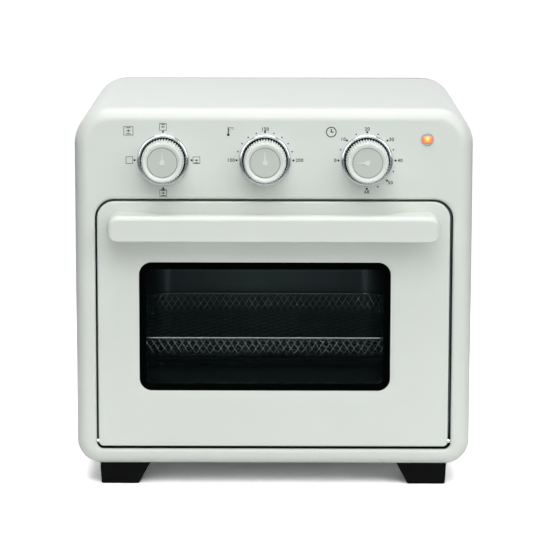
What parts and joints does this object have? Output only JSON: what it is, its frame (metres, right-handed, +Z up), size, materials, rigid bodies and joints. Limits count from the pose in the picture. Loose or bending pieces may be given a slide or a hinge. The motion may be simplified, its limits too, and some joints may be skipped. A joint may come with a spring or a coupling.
{
  "type": "air fryer oven",
  "caption": "Free-standing air fryer oven with a drop-down glazed door, turning knobs on its control panel, a frying basket and a crumb tray.",
  "frame": {"origin": "middle of the footprint, handle and rear spacers included, on the surface that the feet stand on", "axes": "+X to the right of a person who faces the oven, +Y to its rear, +Z up"},
  "size_m": [0.37, 0.347, 0.3606],
  "materials": {
    "shell_paint": "satin",
    "shell_plastic": "satin",
    "accent_plastic": "satin",
    "black_plastic": "matte",
    "white_plastic": "matte",
    "sheet_steel": "satin",
    "chrome": "polished",
    "heater_sheath": "matte",
    "ceramic": "gloss",
    "motor_iron": "matte",
    "brass": "satin",
    "aluminium": "satin",
    "seal_rubber": "matte",
    "window_glass": "gloss",
    "amber_lens": "gloss"
  },
  "bodies": {
    "oven": {"base_plate": "sheet_steel", "bulb_clips": "sheet_steel", "casing_screws": "chrome", "control_nuts": "sheet_steel", "cord_gland": "black_plastic", "door_seal": "seal_rubber", "fan_guard": "sheet_steel", "fan_housing": "sheet_steel", "foot_front_left": "black_plastic", "foot_front_right": "black_plastic", "foot_rear_left": "black_plastic", "foot_rear_right": "black_plastic", "foot_screws": "chrome", "front_frame": "shell_plastic", "function_switch": "black_plastic", "heater_bushes": "ceramic", "hinge_pins": "chrome", "knob_bezels": "chrome", "lamp_body": "white_plastic", "lamp_lens": "amber_lens", "lamp_ring": "chrome", "liner_floor": "sheet_steel", "liner_roof": "sheet_steel", "liner_walls": "sheet_steel", "lower_heaters": "heater_sheath", "motor_bracket": "sheet_steel", "motor_coil": "white_plastic", "motor_stack": "motor_iron", "outer_casing": "shell_paint", "rear_panel": "shell_paint", "rear_spacer_left": "black_plastic", "rear_spacer_right": "black_plastic", "terminal_block": "white_plastic", "thermostat": "black_plastic", "thermostat_bulb": "brass", "timer": "black_plastic", "upper_heaters": "heater_sheath"},
    "door": {"door_skin": "shell_paint", "door_inner_panel": "sheet_steel", "door_screws": "chrome", "door_glass": "window_glass", "handle": "shell_plastic", "handle_screws": "chrome", "hinge_blocks": "sheet_steel"},
    "function_control": {"function_knob": "shell_plastic", "function_knob_cap": "accent_plastic", "function_shaft": "aluminium"},
    "temperature_control": {"temperature_knob": "shell_plastic", "temperature_knob_cap": "accent_plastic", "temperature_shaft": "aluminium"},
    "timer_control": {"timer_knob": "shell_plastic", "timer_knob_cap": "accent_plastic", "timer_shaft": "aluminium"},
    "fan_rotor": {"convection_fan": "sheet_steel", "cooling_fan": "black_plastic", "motor_shaft": "chrome"},
    "basket": {"basket_rim": "chrome", "basket_mesh": "chrome"},
    "tray": {"crumb_tray": "aluminium"}
  },
  "joints": [
    {"name": "door_hinge", "type": "hinge", "parent": "oven", "child": "door", "pos_m": [0, -0.134, 0.0451], "axis": [1, 0, 0], "range_deg": [0, 90]},
    {"name": "function_turn", "type": "hinge", "parent": "oven", "child": "function_control", "pos_m": [-0.1024, -0.1395, 0.3125], "axis": [0, 1, 0], "range_deg": [-90, 180]},
    {"name": "temperature_turn", "type": "hinge", "parent": "oven", "child": "temperature_control", "pos_m": [-0.008, -0.1395, 0.3125], "axis": [0, 1, 0], "range_deg": [-90, 90]},
    {"name": "timer_turn", "type": "hinge", "parent": "oven", "child": "timer_control", "pos_m": [0.0864, -0.1395, 0.3125], "axis": [0, 1, 0], "range_deg": [0, 270]},
    {"name": "fan_spin", "type": "hinge", "parent": "oven", "child": "fan_rotor", "pos_m": [-0.008, 0.016, 0.3], "axis": [0, 0, 1], "continuous": true},
    {"name": "basket_slide", "type": "slide", "parent": "oven", "child": "basket", "axis": [0, -1, 0], "range_m": [0, 0.018]},
    {"name": "tray_slide", "type": "slide", "parent": "oven", "child": "tray", "axis": [0, -1, 0], "range_m": [0, 0.014]}
  ]
}
